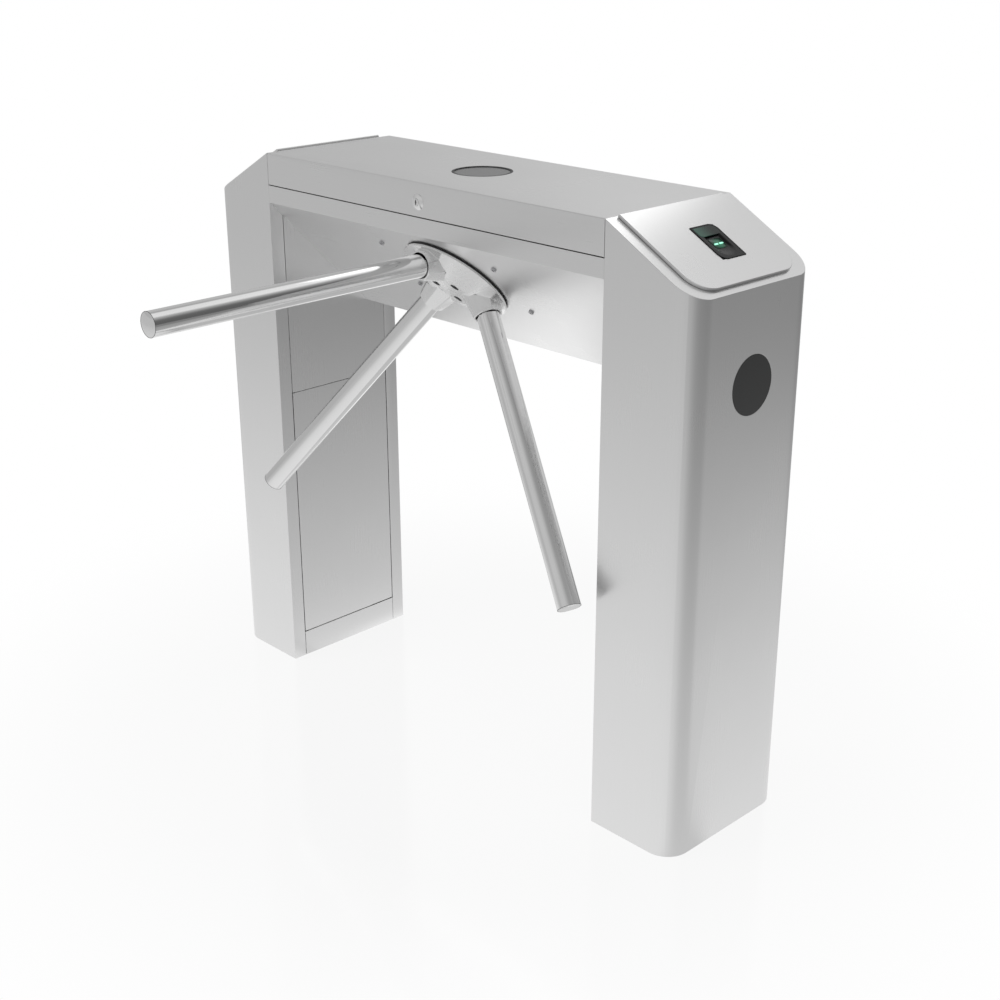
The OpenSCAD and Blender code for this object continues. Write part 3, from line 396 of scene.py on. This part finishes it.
CAD_FINISHES = {
    "zinc": ["door_hinge_pins", "beam_bolts", "hinge_leaf_beam", "hinge_leaf_lid",
             "hinge_rod", "lock_cam", "lid_catch", "mechanism_plate",
             "rear_plate", "plate_pillars", "pawl_pins", "left_solenoid", "right_solenoid"],
    "machined": ["arm_clamp_screws", "mechanism_screws", "main_shaft", "front_bearing",
                 "rear_bearing", "locking_wheel", "stop_rollers", "left_pawl", "right_pawl",
                 "left_plunger", "right_plunger"],
    "blackened": ["hub_screws"],
    "polished": ["front_arm", "left_arm", "right_arm", "front_arm_cap", "left_arm_cap",
                 "right_arm_cap", "lock_plug"],
    # hub_collar is a black seal ring behind the hub; its black also serves as painted shade for the
    # dark gap between the hub and the sloped panel
    "black": ["top_lens_ring", "hub_collar"],
    "top_lens": ["top_lens"],
    "end_lens": ["left_end_lens", "right_end_lens"],
    "board": ["top_lamp_board", "left_lamp_board", "right_lamp_board", "control_board"],
    "motor": ["gearmotor"],
    "case": ["power_supply"],
}

SHEET_PIECES = {
    "lid": ("folded_lid", "sheet_beam"),
    "beam": ("folded_beam", "sheet_beam"),
    "left_column": ("folded_left_column", "sheet_column"),
    "right_column": ("folded_right_column", "sheet_column"),
    "left_base": ("left_kick_plate", "sheet_beam"),
    "right_base": ("right_kick_plate", "sheet_beam"),
    "left_upper_panel": ("left_fixed_panel", "sheet_column"),
    "right_upper_panel": ("right_fixed_panel", "sheet_column"),
    "left_door": ("left_service_door", "sheet_column"),
    "right_door": ("right_service_door", "sheet_column"),
    "left_cover_plate": ("left_raised_plate", "sheet_slope"),
    "right_cover_plate": ("right_raised_plate", "sheet_slope"),
}


# ---------------------------------------------------------------- mesh helpers


def link_piece(name, bm, body, finish_name, smooth_angle=30.0):
    """Turns a bmesh into a piece of the scene that rides on a body."""
    mesh = bpy.data.meshes.new(name)
    bm.to_mesh(mesh)
    bm.free()
    mesh.shade_smooth()
    mesh.set_sharp_from_angle(angle=math.radians(smooth_angle))
    mesh.materials.append(finish(finish_name))
    piece = bpy.data.objects.new(name, mesh)
    bpy.context.scene.collection.objects.link(piece)
    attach(piece, body)
    return piece


def merged_copy(node):
    """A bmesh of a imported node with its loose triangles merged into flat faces."""
    bm = bmesh.new()
    bm.from_mesh(frame["nodes"][node].data)
    for layer in list(bm.loops.layers.uv):
        bm.loops.layers.uv.remove(layer)
    bmesh.ops.remove_doubles(bm, verts=bm.verts, dist=0.00001)
    bmesh.ops.dissolve_limit(bm, angle_limit=math.radians(0.4), use_dissolve_boundaries=False,
                             verts=bm.verts, edges=bm.edges)
    return bm


def softened(node, name, finish_name, width, segments=2):
    """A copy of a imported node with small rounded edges, which takes the node's place."""
    body = frame["nodes"][node]["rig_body"]
    piece = link_piece(name, merged_copy(node), body, finish_name)
    rounding = piece.modifiers.new("deburred edges", "BEVEL")
    rounding.width = width
    rounding.segments = segments
    rounding.limit_method = "ANGLE"
    rounding.angle_limit = math.radians(32)
    rounding.use_clamp_overlap = False
    rounding.harden_normals = True
    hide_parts(node)
    return piece


def loft(bm, loops):
    """Draws the first loop out through the others, and returns the rings of vertices."""
    ring = bmesh.ops.create_circle(bm, cap_ends=False, radius=0.001,
                                   segments=len(loops[0]))["verts"]
    for vertex, point in zip(ring, loops[0]):
        vertex.co = point
    rings = [ring]
    for points in loops[1:]:
        edges = [bm.edges.get(pair) for pair in zip(ring, ring[1:] + ring[:1])]
        drawn = set(bmesh.ops.extrude_edge_only(bm, edges=edges)["geom"])
        ring = [next(e.other_vert(v) for e in v.link_edges if e.other_vert(v) in drawn)
                for v in ring]
        for vertex, point in zip(ring, points):
            vertex.co = point
        rings.append(ring)
    return rings


def close_ring(bm, ring):
    edges = {e for v in ring for e in v.link_edges if e.other_vert(v) in ring}
    bmesh.ops.edgeloop_fill(bm, edges=list(edges))


def outward(bm):
    bmesh.ops.remove_doubles(bm, verts=bm.verts, dist=0.000002)
    bmesh.ops.recalc_face_normals(bm, faces=bm.faces)


def rounded_box(half_long, half_wide, radii, height, steps=10):
    """Points of an upright rectangle's outline; radii are those of its four corners."""
    corners = [(1, 1), (-1, 1), (-1, -1), (1, -1)]
    points = []
    for index, ((sx, sy), radius) in enumerate(zip(corners, radii)):
        centre_x, centre_y = sx * (half_long - radius), sy * (half_wide - radius)
        for step in range(steps + 1):
            turn = math.radians(90 * index + 90 * step / steps)
            points.append(Vector((centre_x + radius * math.cos(turn),
                                  centre_y + radius * math.sin(turn), height)))
    return points


def reader_place():
    """Matrix of the reader's centre on the slope: X runs down it, Z stands on it."""
    size = bpy.context.scene.turnstile_sizes
    return (Matrix.Translation(SLOPE_TOP) @ Matrix.Rotation(SLOPE_DROP, 4, "Y")
            @ Matrix.Translation((size.reader_down, size.reader_side, 0.0)))


def arm_place(angle):
    """Matrix of an arm: its Z runs out along the tube from the hub's centre."""
    return (Matrix.Translation(HUB_CENTRE) @ Matrix.Rotation(HUB_TILT, 4, "X")
            @ Matrix.Rotation(math.radians(angle), 4, "Z")
            @ Matrix.Rotation(math.radians(-45), 4, "X"))


# ---------------------------------------------------------------- operators


class TURNSTILE_OT_finish_nodes(bpy.types.Operator):
    """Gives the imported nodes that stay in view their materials"""

    bl_idname = "turnstile.finish_nodes"
    bl_label = "Finish the packed parts"

    def execute(self, context):
        for finish_name, nodes in CAD_FINISHES.items():
            for node in nodes:
                slots = frame["nodes"][node].data.materials
                slots.clear()
                slots.append(finish(finish_name))
        return {"FINISHED"}


class TURNSTILE_OT_sheet_metal(bpy.types.Operator):
    """Makes the folded sheet pieces with soft, deburred edges"""

    bl_idname = "turnstile.sheet_metal"
    bl_label = "Sheet metal"

    def execute(self, context):
        size = context.scene.turnstile_sizes
        for node, (name, finish_name) in SHEET_PIECES.items():
            if finish_name == "sheet_slope":
                softened(node, name, finish_name, size.plate_edge, segments=4)
            else:
                softened(node, name, finish_name, size.fold)
        return {"FINISHED"}


class TURNSTILE_OT_hub(bpy.types.Operator):
    """Makes the polished hub with rounded facets, and the lock's collar"""

    bl_idname = "turnstile.hub"
    bl_label = "Hub and lock collar"

    def execute(self, context):
        width = context.scene.turnstile_sizes.hub_edge
        softened("hub", "cast_hub", "casting", width, segments=3)
        softened("lock_body", "lock_collar", "polished", width * 0.35)
        return {"FINISHED"}


class TURNSTILE_OT_cap_seams(bpy.types.Operator):
    """Makes the fine seam line between each tube and its end cap"""

    bl_idname = "turnstile.cap_seams"
    bl_label = "Cap seams"

    def execute(self, context):
        wire = context.scene.turnstile_sizes.seam_wire
        for side, angle in ARM_ANGLES.items():
            bm = bmesh.new()
            made = bmesh.ops.create_circle(bm, cap_ends=False, radius=wire, segments=8)
            turn = (Matrix.Translation((ARM_RADIUS - wire * 0.45, 0, ARM_LENGTH))
                    @ Matrix.Rotation(math.radians(90), 4, "X"))
            bmesh.ops.transform(bm, matrix=turn, verts=made["verts"])
            bmesh.ops.spin(bm, geom=bm.verts[:] + bm.edges[:], cent=(0, 0, ARM_LENGTH),
                           axis=(0, 0, 1), angle=math.radians(360), steps=64, use_merge=True)
            outward(bm)
            bmesh.ops.transform(bm, matrix=arm_place(angle), verts=bm.verts)
            link_piece(side + "_cap_seam", bm, "tripod", "black", 60)
        return {"FINISHED"}


class TURNSTILE_OT_reader(bpy.types.Operator):
    """Makes the fingerprint reader: housing, tinted cover, sensor glass and lit bars"""

    bl_idname = "turnstile.reader"
    bl_label = "Fingerprint reader"

    def execute(self, context):
        self.housing(context)
        self.cover(context)
        self.sensor(context)
        return {"FINISHED"}

    def outline(self, size, inset, height):
        big = max(0.0005, size.reader_round - inset)
        small = 0.0004
        return rounded_box(size.reader_long / 2 - inset, size.reader_wide / 2 - inset,
                           (small, big, small, big), height)

    # Rings of the finger channel in mm: depth, half length, half width, place down the slope
    CHANNEL = ((0.4, 31.0, 19.5, 1.5), (0.5, 30.0, 18.7, 1.3), (1.1, 27.5, 17.0, 0.3),
               (2.2, 24.0, 15.5, -2.0), (3.0, 21.0, 14.6, -4.0), (3.3, 19.0, 13.8, -5.0))

    def channel_ring(self, top, level):
        deep, half_long, half_wide, place = [value * MM for value in level]
        points = rounded_box(half_long, half_wide, (half_wide * 0.96,) * 4, top - deep)
        return [p + Vector((place, 0.0, 0.0)) for p in points]

    def plate(self, body, name, finish_name, slot, profile):
        """A small raised plate from rings of (inset, height); body gives its outline."""
        bm = bmesh.new()
        rings = loft(bm, [body(inset, height) for inset, height in profile])
        close_ring(bm, rings[0])
        close_ring(bm, rings[-1])
        outward(bm)
        bmesh.ops.transform(bm, matrix=reader_place(), verts=bm.verts)
        return link_piece(name, bm, "cabinet", finish_name)

    def housing(self, context):
        size = context.scene.turnstile_sizes
        foot = COVER_THICKNESS
        top = foot + size.reader_high
        neck_long, neck_wide = size.reader_long / 2 - 0.0025, size.reader_wide / 2 - 0.0025
        bm = bmesh.new()
        loops = [
            rounded_box(neck_long, neck_wide, (0.0006,) * 4, -size.reader_deep),
            rounded_box(neck_long, neck_wide, (0.0006,) * 4, foot),
            self.outline(size, 0.0, foot),
            self.outline(size, 0.0, top - 0.0004),
            self.outline(size, 0.0004, top),
            self.outline(size, 0.0018, top),
            self.outline(size, 0.0021, top - 0.0004),
            self.outline(size, 0.0024, top - 0.0004),
        ]
        rings = loft(bm, loops + [self.channel_ring(top, level) for level in self.CHANNEL])
        close_ring(bm, rings[0])
        close_ring(bm, rings[-1])
        outward(bm)
        bmesh.ops.transform(bm, matrix=reader_place(), verts=bm.verts)
        piece = link_piece("reader_housing", bm, "cabinet", "housing", 25)
        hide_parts("reader_body")

    def cover(self, context):
        size = context.scene.turnstile_sizes
        top = COVER_THICKNESS + size.reader_high
        radii = (0.0060, size.reader_round - 0.0034, 0.0008, 0.0060)

        def body(inset, height):
            points = rounded_box(0.0098 - inset, size.reader_wide / 2 - 0.0034 - inset, radii,
                                 height)
            return [p + Vector((-0.0232, 0.0, 0.0)) for p in points]

        self.plate(body, "reader_tinted_cover", "tint", "reader_glass",
                   ((0.0, top - 0.0010), (0.0, top - 0.0003), (0.0003, top)))

    def sensor(self, context):
        size = context.scene.turnstile_sizes
        top = COVER_THICKNESS + size.reader_high

        def glass(inset, height):
            points = rounded_box(0.0105 - inset, 0.0132 - inset, (0.0030,) * 4, height)
            return [p + Vector((0.0015, 0.0, 0.0)) for p in points]

        piece = self.plate(glass, "reader_sensor_glass", "glass", "reader_glass",
                           ((0.0, top - 0.0038), (0.0, top - 0.0030), (0.0004, top - 0.0027)))
        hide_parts("reader_window")
        bm = bmesh.new()
        for side in (-1, 1):
            loops = []
            for inset, height in ((0.0, top - 0.0028), (0.0, top - 0.0023),
                                  (0.0003, top - 0.0021)):
                points = rounded_box(0.0014 - inset, 0.0041 - inset, (0.0009,) * 4, height)
                loops.append([p + Vector((BARS_DOWN, side * 0.0055, 0)) for p in points])
            rings = loft(bm, loops)
            close_ring(bm, rings[0])
            close_ring(bm, rings[-1])
        outward(bm)
        bmesh.ops.transform(bm, matrix=reader_place(), verts=bm.verts)
        piece = link_piece("reader_light_bars", bm, "cabinet", "light")
        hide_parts("reader_lights")


class TURNSTILE_OT_stage(bpy.types.Operator):
    """Makes the pale floor, the studio light and the camera"""

    bl_idname = "turnstile.stage"
    bl_label = "Stage"

    def execute(self, context):
        self.floor(context)
        self.world(context)
        self.lamps(context)
        self.camera(context)
        context.scene.view_settings.view_transform = "Standard"
        return {"FINISHED"}

    PAPER = 0.86        # how much of the light the matt floor gives back
    # Brightness of the floor in the steel by the length of the mirrored ray in metres, for
    # faces that look to the front and for those that look to the back or the right
    FLOOR_FRONT = ((0.0, 0.995), (0.55, 0.94), (1.33, 0.84), (1.87, 0.765), (2.57, 0.695),
                   (3.6, 0.63))
    FLOOR_BACK = ((0.0, 0.94), (0.55, 0.835), (1.17, 0.68), (1.67, 0.572), (2.32, 0.45),
                  (3.2, 0.335))
    # Brightness of the room by the upward part of the view direction: a dimmer ceiling
    ROOM = ((0.0, 0.62), (0.1, 0.64), (0.3, 0.70), (0.6, 0.69), (0.72, 0.60), (0.8, 0.48),
            (0.88, 0.41), (1.0, 0.36))

    # Lamps: place, what each is aimed at, side in metres, spread in degrees, watts. The two
    # large ones light the matt pieces and stay out of the steel. The small one, a narrow
    # beam, is what the sloped top at the right shows.
    LAMPS = {
        "key softbox": ((-1.6, -2.6, 3.0), (0.0, 0.0, 0.55), 2.2, 180, 46.0),
        "fill softbox": ((3.0, -1.2, 2.2), (0.0, 0.0, 0.55), 2.0, 180, 16.0),
        "slope softbox": ((0.08, 0.38, 1.49), (0.21, -0.20, 0.99), 0.46, 58, 0.08),
    }
    MIRRORED_LAMPS = ("slope softbox",)

    def toward(self, tree, view, way, far_near, low_high):
        """Eased by how closely the view direction follows a given way."""
        along = add_node(tree, "ShaderNodeVectorMath", {0: view, 1: way},
                         operation="DOT_PRODUCT").outputs["Value"]
        return ease(tree, along, far_near, low_high)

    def blend(self, tree, share, first, second):
        """From the first value to the second as the share goes from 0 to 1."""
        return add_node(tree, "ShaderNodeMix", {
            "Factor": share, "A": first, "B": second}).outputs["Result"]

    def times(self, tree, first, *others):
        for other in others:
            first = reckon(tree, "MULTIPLY", first, other)
        return first

    def steps(self, tree, value, stops):
        """A grey for each value: the stops (value, grey) from 0 up, joined by straight lines."""
        end = stops[-1][0]
        ramp = add_node(tree, "ShaderNodeValToRGB", {0: reckon(tree, "DIVIDE", value, end)})
        marks = ramp.color_ramp.elements
        for mark, grey in zip((marks[0], marks[1]), (stops[0][1], stops[-1][1])):
            mark.color = (grey, grey, grey, 1)
        for place, grey in stops[1:-1]:
            marks.new(place / end).color = (grey, grey, grey, 1)
        return ramp.outputs["Color"]

    def mirrored_floor(self, tree, place, rays):
        """How bright the steel shows the floor: pale near the turnstile and dimmer further
        away, at the right and behind, with a pale pool behind the left column, and a little
        paler where one steel face shows it in another."""
        spot = add_node(tree, "ShaderNodeSeparateXYZ", {0: place})
        across, rearward = spot.outputs["X"], spot.outputs["Y"]
        away = rays.outputs["Ray Length"]
        # The bearing of a spot from a point inside the right column, as rearward to right
        right = reckon(tree, "MAXIMUM", reckon(tree, "ADD", across, -0.5), 0.02)
        bearing = reckon(tree, "DIVIDE", reckon(tree, "ADD", rearward, 0.1), right)
        # About where along the beam the ray set out
        source = reckon(tree, "MULTIPLY_ADD", away, -0.58, across)
        level = ease(tree, source, (-0.3, 0.5), (0.84, 1.0))
        dip = ease(tree, bearing, (0.4, 1.15), (0.8, 1.0))
        dip = ease(tree, bearing, (-1.2, -0.3), (1.0, dip))
        front = self.steps(tree, away, self.FLOOR_FRONT)
        back = self.times(tree, self.steps(tree, away, self.FLOOR_BACK), level, dip)
        turned = self.times(tree, ease(tree, bearing, (-1.9, 0.0), (0.0, 1.0)),
                            ease(tree, across, (-0.6, -0.1), (0.0, 1.0)))
        pool = ease(tree, across, (-1.45, -0.35), (0.58, 1.32))
        in_pool = self.times(tree, ease(tree, across, (-0.43, -0.35), (1.0, 0.0)),
                             ease(tree, rearward, (-0.1, 0.1), (0.0, 1.0)),
                             ease(tree, rearward, (0.5, 1.0), (1.0, 0.0)))
        shown = self.blend(tree, in_pool, self.blend(tree, turned, front, back), pool)
        again = ease(tree, rays.outputs["Glossy Depth"], (1.0, 2.0), (1.0, 1.35))
        return self.times(tree, shown, again)

    def floor(self, context):
        bm = bmesh.new()
        bmesh.ops.create_grid(bm, x_segments=1, y_segments=1, size=40.0)
        mesh = bpy.data.meshes.new("studio_floor")
        bm.to_mesh(mesh)
        bm.free()
        floor = bpy.data.objects.new("studio_floor", mesh)
        context.scene.collection.objects.link(floor)
        made, tree = new_material("white_studio_floor")
        colour = context.scene.turnstile_colours.studio
        place = add_node(tree, "ShaderNodeTexCoord").outputs["Object"]
        rays = add_node(tree, "ShaderNodeLightPath")
        reach = add_node(tree, "ShaderNodeVectorMath", {0: place},
                         operation="LENGTH").outputs["Value"]
        # The camera sees matt paper with a soft shadow, which goes over into plain white,
        # and a faint gloss round the columns' feet
        white_share = ease(tree, reach, (0.5, 1.15), (0.94, 1.0))
        gloss = ease(tree, reach, (0.5, 1.3), (0.06, 0.0))
        matt = add_node(tree, "ShaderNodeBsdfDiffuse", {
            "Color": [c * self.PAPER for c in colour]})
        white = add_node(tree, "ShaderNodeEmission", {"Color": colour, "Strength": 1.0})
        glint = add_node(tree, "ShaderNodeBsdfGlossy", {"Color": colour, "Roughness": 0.12})
        glow = add_node(tree, "ShaderNodeEmission", {
            "Color": colour, "Strength": self.mirrored_floor(tree, place, rays)})
        in_metal = reckon(tree, "MAXIMUM", rays.outputs["Is Glossy Ray"],
                          rays.outputs["Is Transmission Ray"])
        seen = matt.outputs[0]
        for share, other in ((white_share, white), (gloss, glint)):
            seen = add_node(tree, "ShaderNodeMixShader", {
                0: share, 1: seen, 2: other.outputs[0]}).outputs[0]
        paper = add_node(tree, "ShaderNodeMixShader", {
            0: rays.outputs["Is Camera Ray"], 1: matt.outputs[0], 2: seen})
        both = add_node(tree, "ShaderNodeMixShader", {
            0: in_metal, 1: paper.outputs[0], 2: glow.outputs[0]})
        close_tree(tree, both.outputs[0])
        mesh.materials.append(made)

    def world(self, context):
        world = bpy.data.worlds.new("studio")
        context.scene.world = world
        world.use_nodes = True
        tree = world.node_tree
        tree.nodes.clear()
        colour = context.scene.turnstile_colours.studio
        view = add_node(tree, "ShaderNodeTexCoord").outputs["Generated"]
        up = add_node(tree, "ShaderNodeSeparateXYZ", {0: view}).outputs["Z"]
        # A pale room with a dark flag behind at the right and one long softbox high behind
        # the turnstile. It is a little brighter straight behind and in front.
        room = self.times(
            tree, self.steps(tree, up, self.ROOM),
            self.toward(tree, view, (0.791, 0.575, 0.208), (0.79, 1.0), (1.0, 0.25)),
            self.toward(tree, view, (-0.2, 0.98, 0.0), (0.70, 0.90), (0.86, 1.08)),
            self.toward(tree, view, (-0.1, -0.87, 0.48), (0.6, 0.95), (1.0, 1.12)))
        softbox = self.toward(tree, view, (0.055, 0.527, 0.848), (0.895, 0.985), (0.0, 0.58))
        light = add_node(tree, "ShaderNodeBackground", {
            "Color": colour, "Strength": reckon(tree, "ADD", room, softbox)})
        seen = add_node(tree, "ShaderNodeBackground", {"Color": colour, "Strength": 1.0})
        rays = add_node(tree, "ShaderNodeLightPath")
        both = add_node(tree, "ShaderNodeMixShader", {
            0: rays.outputs["Is Camera Ray"], 1: light.outputs[0], 2: seen.outputs[0]})
        add_node(tree, "ShaderNodeOutputWorld", {"Surface": both.outputs[0]})

    def lamps(self, context):
        for name, (place, aim, side, spread_angle, power) in self.LAMPS.items():
            lamp = bpy.data.lights.new(name, "AREA")
            lamp.shape = "SQUARE"
            lamp.size = side
            lamp.spread = math.radians(spread_angle)
            lamp.energy = power
            made = bpy.data.objects.new(name, lamp)
            made.location = place
            made.visible_glossy = name in self.MIRRORED_LAMPS
            made.visible_camera = False
            look = Vector(aim) - Vector(place)
            made.rotation_euler = look.to_track_quat("-Z", "Y").to_euler()
            context.scene.collection.objects.link(made)

    def camera(self, context):
        lens = bpy.data.cameras.new("photo camera")
        lens.sensor_width = 36.0
        lens.lens = CAMERA_LENS
        lens.clip_start, lens.clip_end = 0.05, 200.0
        made = bpy.data.objects.new("photo camera", lens)
        made.location = CAMERA_PLACE
        made.rotation_euler = CAMERA_TURN
        context.scene.collection.objects.link(made)
        context.scene.camera = made


class TURNSTILE_PT_panel(bpy.types.Panel):
    """Lists the turnstile's pieces with their sizes and colours"""

    bl_label = "Tripod turnstile"
    bl_idname = "TURNSTILE_PT_panel"
    bl_space_type = "VIEW_3D"
    bl_region_type = "UI"
    bl_category = "Turnstile"

    def draw(self, context):
        layout = self.layout
        for operator in OPERATORS:
            layout.operator(operator.bl_idname)
        for group in (context.scene.turnstile_sizes, context.scene.turnstile_colours):
            box = layout.box()
            for key in type(group).__annotations__:
                box.prop(group, key)


OPERATORS = (
    TURNSTILE_OT_finish_nodes,
    TURNSTILE_OT_sheet_metal,
    TURNSTILE_OT_hub,
    TURNSTILE_OT_cap_seams,
    TURNSTILE_OT_reader,
    TURNSTILE_OT_stage,
)
CLASSES = (TurnstileSizes, TurnstileColours, *OPERATORS, TURNSTILE_PT_panel)


def register():
    for cls in CLASSES:
        bpy.utils.register_class(cls)
    bpy.types.Scene.turnstile_sizes = PointerProperty(type=TurnstileSizes)
    bpy.types.Scene.turnstile_colours = PointerProperty(type=TurnstileColours)


def unregister():
    del bpy.types.Scene.turnstile_colours
    del bpy.types.Scene.turnstile_sizes
    for cls in reversed(CLASSES):
        bpy.utils.unregister_class(cls)


def main():
    register()
    bpy.ops.turnstile.finish_nodes()
    bpy.ops.turnstile.sheet_metal()
    bpy.ops.turnstile.hub()
    bpy.ops.turnstile.cap_seams()
    bpy.ops.turnstile.reader()
    bpy.ops.turnstile.stage()


if __name__ == "__main__":
    main()
